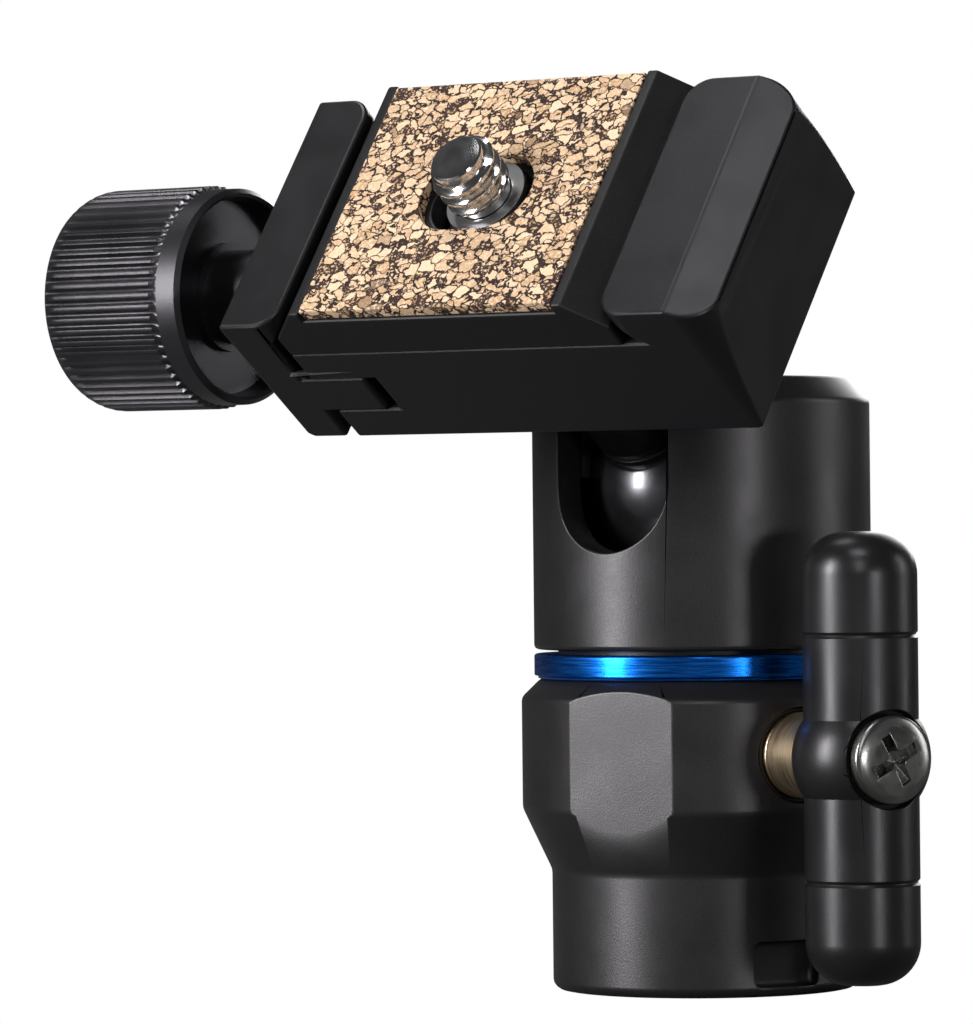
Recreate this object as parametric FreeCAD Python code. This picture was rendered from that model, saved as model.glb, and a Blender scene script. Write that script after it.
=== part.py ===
import FreeCAD, Part

import math
import os

os.makedirs("parts", exist_ok=True)

# Driving dimensions of a small tripod ball head, in millimetres and degrees.
# The origin is the centre of the base's underside, +Z is up and +X points along the lock lever's shaft.

# Clearances
run_fit = 0.05          # radial gap of a turning or sliding fit
seat_fit = 0.02         # radial gap of a piece that is fixed in its seat
cone_gap = 0.03         # gap between the lock screw's nose and the plunger

# Lock body, from the underside up
base_r = 14.05
base_chamfer = 0.6
base_h = 11.0
under_cone_h = 5.65
drum_r = 16.7
drum_h = 10.15
top_cone_h = 1.75
top_cone_r = 14.9
flat_depth = 0.8        # how deep each flat is milled into the drum
flat_angles = (60.0, 180.0, 300.0)
notch_w = 6.8
notch_floor_z = 0.9
notch_top_z = 5.0
notch_depth = 1.5
chamber_r = 8.2
ceiling_t = 1.95

# Tripod bush in the underside
bush_r = 9.0
bush_h = 9.0
tripod_thread_r = 3.97  # wall of the 3/8"-16 thread, as drilled

# Panning joint
ring_r = 15.5
ring_h = 2.25
ring_edge = 0.15
disc_r = 13.3
pan_gap = 0.4           # daylight between the ring and the housing
spindle_r = 5.5
spindle_flange_r = 7.4
spindle_flange_t = 1.4
washer_t = 0.3

# Ball housing
housing_r = ring_r       # the housing stands flush with the ring
housing_h = 24.7
housing_chamfer_r = 1.9
housing_chamfer_h = 2.2
housing_foot_chamfer = 0.2
housing_floor_t = 2.2
housing_bore_r = 12.2
spring_gap = 0.4        # radial room round the disc springs
spring_outer_r = housing_bore_r - spring_gap
mouth_low_r = 9.9
mouth_top_r = 11.1
mouth_h = 3.5
slot_half_w = 5.95
slot_drop = 0.2         # the slot's round end is centred this far under the ball's centre
slot_edge = 0.25
slot_azimuth = -66.3    # where the slot points, and so where the stem leans

# Ball, stem and seats
ball_r = 11.0
ball_z = 46.2
ball_tilt = 54.0        # the stem's lean from upright, as photographed
stem_r = 5.2
stem_groove_r = 4.7
stem_flange_r = 8.0
stem_flange_t = 1.6
stem_spigot_r = 3.0
stem_spigot_depth = 7.0
stem_key_r = 4.0
stem_key_h = 1.5
seat_band_low = 0.7     # the upper seat's lower edge above the ball's centre
seat_opening_r = 9.6
cup_top = 6.1           # the lower seat's rim under the ball's centre
cup_hole_r = 4.5
spring_pack_h = 1.5
spring_t = 0.45
spring_inner_r = 8.2

# Lock screw, plunger and lever
lever_z = 21.8
lever_x = 26.1
lever_r = 5.1
lever_half = 20.0
lever_end_r = 3.8
lever_groove_z = 10.9
lever_groove_w = 0.35
lever_groove_depth = 0.22
lever_ball_r = 6.15
shaft_r = 3.85
shaft_mouth_r = 4.35
shaft_mouth_depth = 1.1
nose_r = 2.5
nose_x = -0.5           # the tip of the nose's cone
thread_start_x = 8.8
spigot_r = 3.0
spigot_len = 4.2
lever_seat_x = 21.3
plunger_head_r = 6.5
plunger_head_t = 1.0
plunger_travel = 0.4
screw_head_r = 3.95
screw_head_h = 2.2
screw_dome_h = 0.55
screw_recess_r = 4.4
screw_recess_x = 29.6
screw_shank_r = 2.0
screw_len = 10.5
cross_w = 1.05
cross_l = 4.6
cross_depth = 1.6
cross_turn = 28.0

# Clamp, in its own frame: w across the jaws, l along them, n away from the ball
clamp_half_l = 12.9
clamp_under = 25.45
clamp_seat = 37.6
clamp_top = 41.9
clamp_left = -17.95
clamp_under_right = 25.7
clamp_side_w = 28.0
clamp_side_top = 39.9
clamp_crease_w = 24.4
clamp_corner_r = 3.1
lip_corner_r = 2.5
lip_w = 17.3
edge_bevel = 0.3
lip_bevel = 0.3
tongue_low = 29.3
tongue_high = 33.95
tongue_slot_end = -10.85
tongue_end_gap = 1.4
jaw_gap = 1.2           # between the jaw's inner wall and the clamp's ledge
jaw_outer_w = -23.5
jaw_bevel = 0.45
jaw_foot_bevel = 0.6

# Clamp knob and its screw
knob_height = 30.1
knob_r = 10.3
knob_rim_r = 9.95
knob_inner_w = -33.9
knob_rim_len = 2.5
knob_outer_w = -50.2
knob_end_r = 9.6
knob_end_len = 1.8
knob_dish_r = 8.9
knob_dish_depth = 2.3
knob_neck_r = 4.3
knob_collar_r = 5.0
knob_collar_len = 0.8
flute_count = 60
flute_depth = 0.42
flute_share = 0.46      # the groove's part of one flute's pitch
clamp_screw_r = 2.45
clamp_screw_tip = -5.0
clamp_screw_in_knob = 7.0
insert_r = 3.4
insert_len = 6.0
jaw_washer_t = 0.6

# Stem screw, sunk in the clamp's seat
stem_screw_r = 2.45
stem_screw_head_r = 4.5
stem_screw_head_h = 2.6
stem_screw_sink = 0.5
stem_screw_len = 16.0
stem_screw_hex_r = 1.75

# Plate, cork and camera screw
plate_half_l = 12.9
plate_half_w = 17.9
plate_side_h = 2.45
rim_outer_w = 14.6
rim_w = 1.0
rim_h = 1.1
plate_bevel = 0.25
cork_t = 1.2
cork_edge = 0.3         # the cork stops this short of the plate's ends
cork_corner_r = 0.8
camera_screw_r = 3.175  # 1/4"-20
camera_neck_r = 2.6
camera_head_r = 5.6
camera_head_h = 1.9
camera_head_sink = 0.3
camera_reach = 4.9      # how far the screw stands above the cork
camera_tip_chamfer = 0.6
camera_w = 1.2          # where the screw stands in its slot
coin_slot_w = 1.4
coin_slot_depth = 1.0
plate_slot_centre = 0.5
plate_slot_travel = 1.9
plate_slot_half = 3.35
cork_hole_half = 4.05
clip_r = 3.85
clip_t = 0.6

# Heights that follow from the stack
under_cone_top = base_h + under_cone_h
drum_top = under_cone_top + drum_h
body_top = drum_top + top_cone_h
ring_top = body_top + ring_h
housing_z = ring_top + pan_gap
housing_top = housing_z + housing_h
housing_floor = housing_z + housing_floor_t
shoulder_z = housing_top - mouth_h
ceiling_z = body_top - ceiling_t
flange_top = ceiling_z - washer_t
cup_bottom = housing_floor + spring_pack_h
seat_r = ball_r + run_fit
jaw_inner_w = clamp_left - jaw_gap
rim_top = clamp_seat + plate_side_h + plate_half_w - rim_outer_w
cork_floor = rim_top - rim_h
cork_top = cork_floor + cork_t
dovetail_sum = plate_half_w + clamp_seat + plate_side_h + 1.4 * run_fit

origin = FreeCAD.Vector(0, 0, 0)
axis_x = FreeCAD.Vector(1, 0, 0)
axis_y = FreeCAD.Vector(0, 1, 0)
axis_z = FreeCAD.Vector(0, 0, 1)


def point(x, y, z):
    return FreeCAD.Vector(x, y, z)


def turned(profile):
    """A solid of revolution about Z from a closed list of (radius, height) corners."""
    corners = [point(r, 0, z) for r, z in profile]
    wire = Part.makePolygon(corners + corners[:1])
    return Part.Face(wire).revolve(origin, axis_z, 360)


def drum(radius, low, high):
    return Part.makeCylinder(radius, high - low, point(0, 0, low))


def along_x(shape):
    """Stand a shape made along Z on the X axis, with +Z going to +X."""
    result = shape.copy()
    result.rotate(origin, axis_y, 90)
    return result


def profile_along_y(profile, half_length):
    """A prism from (x, z) corners, centred on Y = 0."""
    corners = [point(x, -half_length, z) for x, z in profile]
    wire = Part.makePolygon(corners + corners[:1])
    return Part.Face(wire).extrude(point(0, 2 * half_length, 0))


def box(x0, x1, y0, y1, z0, z1):
    return Part.makeBox(x1 - x0, y1 - y0, z1 - z0, point(x0, y0, z0))


def rounded_plan(x0, x1, y0, y1, z0, z1, radius):
    """A block whose four upright edges are rounded."""
    block = box(x0, x1, y0, y1, z0, z1)
    upright = [e for e in block.Edges if abs(e.Vertexes[0].Z - e.Vertexes[-1].Z) > 0.5 * (z1 - z0)]
    return block.makeFillet(radius, upright)


def slot_plan(centre_x, travel, half_w, z0, z1):
    """An upright prism with round ends, long in X."""
    block = box(centre_x - travel, centre_x + travel, -half_w, half_w, z0, z1)
    for side in (-1, 1):
        end = Part.makeCylinder(half_w, z1 - z0, point(centre_x + side * travel, 0, z0))
        block = block.fuse(end)
    return block.removeSplitter()


def platform_placement():
    """The clamp's frame: w level, l up the slope and n along the stem."""
    lean = math.radians(slot_azimuth)
    tilt = math.radians(ball_tilt)
    n = point(math.sin(tilt) * math.cos(lean), math.sin(tilt) * math.sin(lean), math.cos(tilt))
    w = point(-math.sin(lean), math.cos(lean), 0)
    l = n.cross(w)
    matrix = FreeCAD.Matrix(
        w.x, l.x, n.x, 0,
        w.y, l.y, n.y, 0,
        w.z, l.z, n.z, ball_z,
        0, 0, 0, 1)
    return FreeCAD.Placement(matrix)


platform = platform_placement()


def on_platform(shape):
    result = shape.copy()
    result.Placement = platform.multiply(result.Placement)
    return result


def on_slot(shape):
    """Turn a shape made towards +X so that it faces the slot."""
    result = shape.copy()
    result.rotate(origin, axis_z, slot_azimuth)
    return result


def arc_profile_face(start, middle, end, corners):
    """A face bounded by one arc and straight lines through the corners, in (radius, height)."""
    points = [point(r, 0, z) for r, z in [end] + corners + [start]]
    arc = Part.Arc(point(start[0], 0, start[1]), point(middle[0], 0, middle[1]), point(end[0], 0, end[1]))
    edges = [arc.toShape()]
    for a, b in zip(points, points[1:]):
        edges.append(Part.makeLine(a, b))
    return Part.Face(Part.Wire(edges))


def lock_body():
    body = turned([
        (0, 0), (base_r - base_chamfer, 0), (base_r, base_chamfer), (base_r, base_h),
        (drum_r, under_cone_top), (drum_r, drum_top), (top_cone_r, body_top), (0, body_top)])
    for angle in flat_angles:
        cutter = box(drum_r - flat_depth, drum_r + 5, -drum_r, drum_r, base_h, body_top + 1)
        cutter.rotate(origin, axis_z, angle)
        body = body.cut(cutter)
    notch = box(base_r - notch_depth, base_r + 2, -notch_w / 2, notch_w / 2, notch_floor_z, notch_top_z)
    body = body.cut(notch)
    body = body.cut(drum(bush_r + seat_fit, -1, bush_h))
    body = body.cut(drum(chamber_r, bush_h - 0.01, ceiling_z))
    body = body.cut(drum(spindle_r + run_fit, ceiling_z - 1, body_top + 1))
    shaft_hole = along_x(Part.makeCylinder(shaft_r + run_fit, drum_r + 2))
    shaft_hole.translate(point(0, 0, lever_z))
    mouth = along_x(Part.makeCylinder(shaft_mouth_r, shaft_mouth_depth + 2))
    mouth.translate(point(drum_r - shaft_mouth_depth, 0, lever_z))
    return body.cut(shaft_hole).cut(mouth)


def tripod_bush():
    return turned([(tripod_thread_r, 0), (bush_r, 0), (bush_r, bush_h), (tripod_thread_r, bush_h)])


def pan_ring():
    inner = disc_r + seat_fit
    return turned([
        (inner, body_top), (ring_r - ring_edge, body_top), (ring_r, body_top + ring_edge),
        (ring_r, ring_top - ring_edge), (ring_r - ring_edge, ring_top), (inner, ring_top)])


def friction_disc():
    hole = spindle_r + run_fit
    return turned([(hole, body_top), (disc_r, body_top), (disc_r, housing_z), (hole, housing_z)])


def thrust_washer():
    return turned([
        (spindle_r + run_fit, flange_top), (spindle_flange_r, flange_top),
        (spindle_flange_r, ceiling_z), (spindle_r + run_fit, ceiling_z)])


def pan_spindle():
    bore = nose_r + run_fit
    low = flange_top - spindle_flange_t
    return turned([
        (bore, low), (spindle_flange_r, low), (spindle_flange_r, flange_top),
        (spindle_r, flange_top), (spindle_r, housing_floor), (bore, housing_floor)])


def drop_slot(inner_x, outer_x, half_w):
    """The tool that cuts the slot for the stem, towards +X."""
    centre = ball_z - slot_drop
    tool = box(inner_x, outer_x, -half_w, half_w, centre, housing_top + 5)
    end = along_x(Part.makeCylinder(half_w, outer_x - inner_x))
    end.translate(point(inner_x, 0, centre))
    return tool.fuse(end)


def ball_housing():
    foot = housing_foot_chamfer
    shell = turned([
        (spindle_r + seat_fit, housing_z), (housing_r - foot, housing_z), (housing_r, housing_z + foot),
        (housing_r, housing_top - housing_chamfer_h), (housing_r - housing_chamfer_r, housing_top),
        (mouth_top_r, housing_top), (mouth_low_r, shoulder_z), (housing_bore_r, shoulder_z),
        (housing_bore_r, housing_floor), (spindle_r + seat_fit, housing_floor)])
    return shell.cut(on_slot(drop_slot(0, housing_r + 3, slot_half_w)))


def upper_seat():
    outer = housing_bore_r - run_fit
    low = seat_band_low
    high = math.sqrt(seat_r ** 2 - seat_opening_r ** 2)
    middle = (low + high) / 2
    start = (math.sqrt(seat_r ** 2 - low ** 2), ball_z + low)
    mid = (math.sqrt(seat_r ** 2 - middle ** 2), ball_z + middle)
    end = (seat_opening_r, ball_z + high)
    corners = [(seat_opening_r, shoulder_z), (outer, shoulder_z), (outer, ball_z + low)]
    ring = arc_profile_face(start, mid, end, corners).revolve(origin, axis_z, 360)
    return ring.cut(on_slot(drop_slot(0, housing_r + 3, slot_half_w)))


def lower_seat():
    outer = housing_bore_r - run_fit
    low = -math.sqrt(seat_r ** 2 - cup_hole_r ** 2)
    high = -cup_top
    middle = (low + high) / 2
    start = (cup_hole_r, ball_z + low)
    mid = (math.sqrt(seat_r ** 2 - middle ** 2), ball_z + middle)
    end = (math.sqrt(seat_r ** 2 - high ** 2), ball_z + high)
    corners = [(outer, ball_z + high), (outer, cup_bottom), (cup_hole_r, cup_bottom)]
    return arc_profile_face(start, mid, end, corners).revolve(origin, axis_z, 360)


def disc_springs():
    middle = housing_floor + spring_pack_h / 2
    lower = turned([
        (spring_outer_r, housing_floor), (spring_outer_r, housing_floor + spring_t),
        (spring_inner_r, middle), (spring_inner_r, middle - spring_t)])
    upper = turned([
        (spring_outer_r, cup_bottom), (spring_inner_r, middle + spring_t),
        (spring_inner_r, middle), (spring_outer_r, cup_bottom - spring_t)])
    return Part.makeCompound([lower, upper])


def ball():
    flat = math.sqrt(ball_r ** 2 - stem_r ** 2)
    shape = Part.makeSphere(ball_r)
    shape = shape.cut(box(-ball_r, ball_r, -ball_r, ball_r, flat, ball_r + 1))
    shape = shape.cut(drum(stem_spigot_r + seat_fit, flat - stem_spigot_depth - 0.5, flat + 1))
    return on_platform(shape)


def stem():
    flat = math.sqrt(ball_r ** 2 - stem_r ** 2)
    flange_low = clamp_under - stem_flange_t
    flare = flange_low - (stem_flange_r - stem_r)
    groove_low = flat + 0.8
    groove_high = groove_low + 0.8
    shape = turned([
        (0, flat - stem_spigot_depth), (stem_spigot_r, flat - stem_spigot_depth), (stem_spigot_r, flat),
        (stem_r, flat), (stem_r, groove_low), (stem_groove_r, groove_low), (stem_groove_r, groove_high),
        (stem_r, groove_high), (stem_r, flare), (stem_flange_r, flange_low), (stem_flange_r, clamp_under),
        (stem_key_r, clamp_under), (stem_key_r, clamp_under + stem_key_h), (0, clamp_under + stem_key_h)])
    screw_end = stem_screw_bottom() - 1.0
    hole = drum(stem_screw_r + run_fit, screw_end, clamp_under + stem_key_h + 1)
    return on_platform(shape.cut(hole))


def stem_screw_top():
    return clamp_seat - stem_screw_sink


def stem_screw_bottom():
    return stem_screw_top() - stem_screw_len


def hexagon(radius, z0, z1):
    corners = []
    for i in range(6):
        angle = math.radians(60 * i)
        corners.append(point(radius * math.cos(angle), radius * math.sin(angle), z0))
    return Part.Face(Part.makePolygon(corners + corners[:1])).extrude(point(0, 0, z1 - z0))


def stem_screw():
    top = stem_screw_top()
    shape = turned([
        (0, stem_screw_bottom()), (stem_screw_r, stem_screw_bottom()),
        (stem_screw_r, top - stem_screw_head_h), (stem_screw_head_r, top - 0.4),
        (stem_screw_head_r, top), (0, top)])
    return on_platform(shape.cut(hexagon(stem_screw_hex_r, top - 1.6, top + 1)))


def knob_axis_cylinder(radius, w_from, w_to):
    """A cylinder on the clamp screw's axis, in the clamp's frame."""
    cylinder = along_x(Part.makeCylinder(radius, w_to - w_from))
    cylinder.translate(point(w_from, 0, knob_height))
    return cylinder


def bevel_ends(shape, size, half_length, keep):
    """Bevel the edges that lie in the two end faces, at Y = -half_length and +half_length."""
    chosen = []
    for edge in shape.Edges:
        ys = [v.Y for v in edge.Vertexes]
        at_end = all(abs(abs(y) - half_length) < 1e-4 for y in ys) and abs(ys[0] - ys[-1]) < 1e-4
        if at_end and keep(edge.CenterOfMass):
            chosen.append(edge)
    return shape.makeChamfer(size, chosen)


def clamp_base():
    body = profile_along_y([
        (clamp_left, clamp_under), (clamp_under_right, clamp_under), (clamp_side_w, clamp_side_top),
        (clamp_crease_w, clamp_top), (lip_w + lip_bevel, clamp_top), (lip_w, clamp_top - lip_bevel),
        (lip_w, dovetail_sum - lip_w), (dovetail_sum - clamp_seat, clamp_seat),
        (clamp_left, clamp_seat), (clamp_left, tongue_high), (tongue_slot_end, tongue_high),
        (tongue_slot_end, tongue_low), (clamp_left, tongue_low)], clamp_half_l)
    far = clamp_left - 50
    plan = rounded_plan(
        far, clamp_side_w, -clamp_half_l, clamp_half_l, clamp_under - 1, clamp_top + 1, clamp_corner_r)
    body = body.common(plan)
    for side in (-1, 1):
        corner = box(
            lip_w - 1, lip_w + lip_corner_r, min(side * (clamp_half_l - lip_corner_r), side * 20),
            max(side * (clamp_half_l - lip_corner_r), side * 20), clamp_seat, clamp_top + 1)
        keep = Part.makeCylinder(
            lip_corner_r, 20, point(lip_w + lip_corner_r, side * (clamp_half_l - lip_corner_r), clamp_seat - 5))
        body = body.cut(corner.cut(keep))
    body = body.cut(drum(stem_key_r + run_fit, clamp_under - 1, clamp_under + stem_key_h + run_fit))
    body = body.cut(drum(stem_screw_r + run_fit, clamp_under - 1, clamp_seat + 1))
    body = body.cut(turned([
        (0, stem_screw_top() - stem_screw_head_h - 0.1), (stem_screw_r, stem_screw_top() - stem_screw_head_h - 0.1),
        (stem_screw_head_r + run_fit, stem_screw_top() - 0.45), (stem_screw_head_r + run_fit, clamp_seat + 1),
        (0, clamp_seat + 1)]))
    body = body.cut(knob_axis_cylinder(clamp_screw_r + 0.3, clamp_left - 1, clamp_screw_tip + 0.6))
    return on_platform(body.cut(knob_axis_cylinder(insert_r + seat_fit, tongue_slot_end - 1, insert_end())))


def insert_end():
    return tongue_slot_end + insert_len


def thread_insert():
    sleeve = knob_axis_cylinder(insert_r, tongue_slot_end, insert_end())
    return on_platform(sleeve.cut(knob_axis_cylinder(clamp_screw_r + run_fit, tongue_slot_end - 1, 0)))


def movable_jaw():
    tongue_end = tongue_slot_end - tongue_end_gap
    slope_low = dovetail_sum + jaw_inner_w
    jaw = profile_along_y([
        (jaw_outer_w + jaw_foot_bevel, clamp_under), (jaw_inner_w, clamp_under),
        (jaw_inner_w, tongue_low + run_fit), (tongue_end, tongue_low + run_fit),
        (tongue_end, tongue_high - run_fit), (jaw_inner_w, tongue_high - run_fit),
        (jaw_inner_w, slope_low), (-lip_w, dovetail_sum - lip_w), (-lip_w, clamp_top - lip_bevel),
        (-lip_w - lip_bevel, clamp_top), (jaw_outer_w + jaw_bevel, clamp_top),
        (jaw_outer_w, clamp_top - jaw_bevel), (jaw_outer_w, clamp_under + jaw_foot_bevel)], clamp_half_l)
    for side in (-1, 1):
        corner = box(
            -lip_w - lip_corner_r, -lip_w + 1, min(side * (clamp_half_l - lip_corner_r), side * 20),
            max(side * (clamp_half_l - lip_corner_r), side * 20), tongue_high + 1, clamp_top + 1)
        keep = Part.makeCylinder(
            lip_corner_r, 20, point(-lip_w - lip_corner_r, side * (clamp_half_l - lip_corner_r), tongue_high - 5))
        jaw = jaw.cut(corner.cut(keep))
    return on_platform(jaw.cut(knob_axis_cylinder(clamp_screw_r + 0.3, jaw_outer_w - 1, tongue_slot_end)))


def jaw_washer():
    washer = knob_axis_cylinder(knob_neck_r, jaw_outer_w - jaw_washer_t, jaw_outer_w)
    return on_platform(washer.cut(knob_axis_cylinder(clamp_screw_r + 0.15, jaw_outer_w - 2, jaw_outer_w + 1)))


def fluted_cylinder(length):
    """The knurled barrel: straight grooves cut at even steps round the knob, along Z."""
    pitch = 2 * math.pi / flute_count
    half_ridge = pitch * (1 - flute_share) / 2
    corners = []
    for i in range(flute_count):
        centre = i * pitch
        for angle, radius in (
                (centre - half_ridge, knob_r), (centre + half_ridge, knob_r),
                (centre + pitch / 2, knob_r - flute_depth)):
            corners.append(point(radius * math.cos(angle), radius * math.sin(angle), 0))
    return Part.Face(Part.makePolygon(corners + corners[:1])).extrude(point(0, 0, length))


def clamp_knob():
    # The knob is turned along Z here: height 0 is its inner rim and the outer end is up.
    length = knob_inner_w - knob_outer_w
    neck = jaw_outer_w - jaw_washer_t - knob_inner_w
    envelope = turned([
        (0, knob_rim_len), (knob_rim_r - 0.2, knob_rim_len), (knob_r, knob_rim_len + 0.6),
        (knob_r, length - knob_end_len), (knob_end_r, length), (0, length)])
    barrel = fluted_cylinder(length).common(envelope)
    core = turned([
        (0, -neck), (knob_neck_r, -neck), (knob_neck_r, knob_dish_depth - knob_collar_len),
        (knob_collar_r, knob_dish_depth - knob_collar_len), (knob_collar_r, knob_dish_depth),
        (knob_dish_r, knob_dish_depth), (knob_dish_r + 0.3, 0.3), (knob_dish_r + 0.6, 0),
        (knob_rim_r - 0.4, 0), (knob_rim_r, 0.4), (knob_rim_r, knob_rim_len),
        (knob_rim_r - 0.2, knob_rim_len + 0.01), (0, knob_rim_len + 0.01)])
    shape = barrel.fuse(core)
    shape = shape.cut(drum(clamp_screw_r + seat_fit, -neck - 1, clamp_screw_in_knob))
    shape.rotate(origin, axis_y, -90)
    shape.translate(point(knob_inner_w, 0, knob_height))
    return on_platform(shape)


def clamp_screw():
    return on_platform(knob_axis_cylinder(clamp_screw_r, knob_inner_w - clamp_screw_in_knob, clamp_screw_tip))


def quick_plate():
    side_top = clamp_seat + plate_side_h
    body = profile_along_y([
        (-plate_half_w, clamp_seat), (plate_half_w, clamp_seat), (plate_half_w, side_top),
        (rim_outer_w, rim_top), (rim_outer_w - rim_w, rim_top), (rim_outer_w - rim_w, cork_floor),
        (rim_w - rim_outer_w, cork_floor), (rim_w - rim_outer_w, rim_top), (-rim_outer_w, rim_top),
        (-plate_half_w, side_top)], plate_half_l)
    head_room = camera_head_r + 0.2
    recess_top = clamp_seat + camera_head_sink + camera_head_h
    body = body.cut(slot_plan(plate_slot_centre, plate_slot_travel, head_room, clamp_seat - 1, recess_top))
    return on_platform(body.cut(
        slot_plan(plate_slot_centre, plate_slot_travel, plate_slot_half, clamp_seat, cork_top)))


def cork_pad():
    half_w = rim_outer_w - rim_w - seat_fit
    half_l = plate_half_l - cork_edge
    pad = rounded_plan(-half_w, half_w, -half_l, half_l, cork_floor, cork_top, cork_corner_r)
    hole = slot_plan(plate_slot_centre, plate_slot_travel, cork_hole_half, cork_floor - 1, cork_top + 1)
    return on_platform(pad.cut(hole))


def screw_clip():
    ring = turned([
        (camera_neck_r + run_fit, cork_floor), (clip_r, cork_floor),
        (clip_r, cork_floor + clip_t), (camera_neck_r + run_fit, cork_floor + clip_t)])
    ring.translate(point(camera_w, 0, 0))
    return on_platform(ring)


def camera_screw():
    head_low = clamp_seat + camera_head_sink
    head_high = head_low + camera_head_h
    tip = cork_top + camera_reach
    thread_low = cork_top + run_fit
    shape = turned([
        (0, head_low), (camera_head_r, head_low), (camera_head_r, head_high), (camera_neck_r, head_high),
        (camera_neck_r, thread_low), (camera_screw_r, thread_low),
        (camera_screw_r, tip - camera_tip_chamfer), (camera_screw_r - camera_tip_chamfer, tip), (0, tip)])
    shape = shape.cut(box(
        -camera_head_r - 1, camera_head_r + 1, -coin_slot_w / 2, coin_slot_w / 2,
        head_low - 1, head_low + coin_slot_depth))
    shape.translate(point(camera_w, 0, 0))
    return on_platform(shape)


def lever_bar():
    # The bar is a turned piece on Z, with rounded ends and one thin groove near each end.
    z = lever_z
    straight = lever_half - lever_end_r
    groove_r = lever_r - lever_groove_depth
    bar = drum(lever_r, z - lever_half, z + lever_half)
    rims = [e for e in bar.Edges if abs(abs(e.CenterOfMass.z - z) - lever_half) < 1e-4]
    bar = bar.makeFillet(lever_half - straight, rims)
    for side in (-1, 1):
        low = z + side * lever_groove_z - lever_groove_w / 2
        ring = drum(lever_r + 1, low, low + lever_groove_w).cut(drum(groove_r, low - 1, low + 1 + lever_groove_w))
        bar = bar.cut(ring)
    bar = bar.fuse(Part.makeSphere(lever_ball_r, point(0, 0, z)))
    bar.translate(point(lever_x, 0, 0))
    for radius, start, end in (
            (shaft_r + 0.5, 0, lever_seat_x),
            (spigot_r + run_fit, lever_seat_x - 1, lever_seat_x + spigot_len + 0.2),
            (screw_shank_r + run_fit, lever_seat_x, screw_recess_x + 1),
            (screw_recess_r, screw_recess_x, lever_x + 20)):
        tool = along_x(Part.makeCylinder(radius, end - start))
        tool.translate(point(start, 0, z))
        bar = bar.cut(tool)
    return bar


def lever_screw():
    # Made along Z from the underside of the head, then turned to point outwards along X.
    head = screw_head_h
    shank = screw_len
    profile = arc_profile_face(
        (screw_head_r, head - screw_dome_h), (screw_head_r * 0.55, head - 0.12), (0, head),
        [(0, -shank), (screw_shank_r, -shank), (screw_shank_r, 0), (screw_head_r, 0)])
    shape = profile.revolve(origin, axis_z, 360)
    for turn in (0, 90):
        blade = profile_along_y([
            (-cross_l / 2, head + 1), (-cross_l / 2, head - 0.5), (-cross_w / 2, head - cross_depth),
            (cross_w / 2, head - cross_depth), (cross_l / 2, head - 0.5), (cross_l / 2, head + 1)], cross_w / 2)
        blade.rotate(origin, axis_z, turn + cross_turn)
        shape = shape.cut(blade)
    shape = along_x(shape)
    shape.translate(point(screw_recess_x, 0, lever_z))
    return shape


def lock_screw():
    # Along Z here: the cone's tip is at nose_x and the spigot carries the lever.
    cone_end = nose_x + nose_r
    spigot_end = lever_seat_x + spigot_len
    shape = turned([
        (0, nose_x), (nose_r, cone_end), (nose_r, thread_start_x), (shaft_r, thread_start_x),
        (shaft_r, lever_seat_x), (spigot_r, lever_seat_x), (spigot_r, spigot_end), (0, spigot_end)])
    hole = drum(screw_shank_r + run_fit, screw_recess_x - screw_len - 0.5, spigot_end + 1)
    shape = along_x(shape.cut(hole))
    shape.translate(point(0, 0, lever_z))
    return shape


def shaft_seal():
    # A rubber ring of round section on the shaft, just inside the mouth of its hole.
    section = (shaft_mouth_r - shaft_r) / 2 - 1.5 * seat_fit
    middle = drum_r - shaft_mouth_depth + section + 0.05
    ring = Part.makeTorus((shaft_mouth_r + shaft_r) / 2, section, point(middle, 0, lever_z), axis_x)
    return ring


def lock_plunger():
    low = lever_z - nose_r - 1
    head_low = cup_bottom - plunger_head_t
    shape = drum(nose_r, low, head_low).fuse(drum(plunger_head_r, head_low, cup_bottom))
    # The foot is cut at 45 degrees, so that it rides on the nose's cone.
    lift = cone_gap * math.sqrt(2)
    reach = 2 * nose_r
    start_z = lever_z + (-reach - nose_x) + lift
    end_z = lever_z + (reach - nose_x) + lift
    wedge = profile_along_y([(-reach, start_z), (reach, end_z), (reach, low - 5), (-reach, low - 5)], reach)
    return shape.cut(wedge)


builders = {
    "lock_body": lock_body,
    "tripod_bush": tripod_bush,
    "pan_ring": pan_ring,
    "friction_disc": friction_disc,
    "thrust_washer": thrust_washer,
    "pan_spindle": pan_spindle,
    "ball_housing": ball_housing,
    "upper_seat": upper_seat,
    "lower_seat": lower_seat,
    "disc_springs": disc_springs,
    "ball": ball,
    "stem": stem,
    "stem_screw": stem_screw,
    "clamp_base": clamp_base,
    "thread_insert": thread_insert,
    "movable_jaw": movable_jaw,
    "jaw_washer": jaw_washer,
    "clamp_knob": clamp_knob,
    "clamp_screw": clamp_screw,
    "quick_plate": quick_plate,
    "cork_pad": cork_pad,
    "screw_clip": screw_clip,
    "camera_screw": camera_screw,
    "lever_bar": lever_bar,
    "lever_screw": lever_screw,
    "lock_screw": lock_screw,
    "shaft_seal": shaft_seal,
    "lock_plunger": lock_plunger,
}

for node, build in builders.items():
    shape = build()
    shape.exportStep("parts/" + node + ".step")
    print(node, len(shape.Solids), "solid", round(shape.Volume, 2), "mm3", shape.isValid())
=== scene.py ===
import math

import bpy
from mathutils import Matrix, Vector


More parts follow.
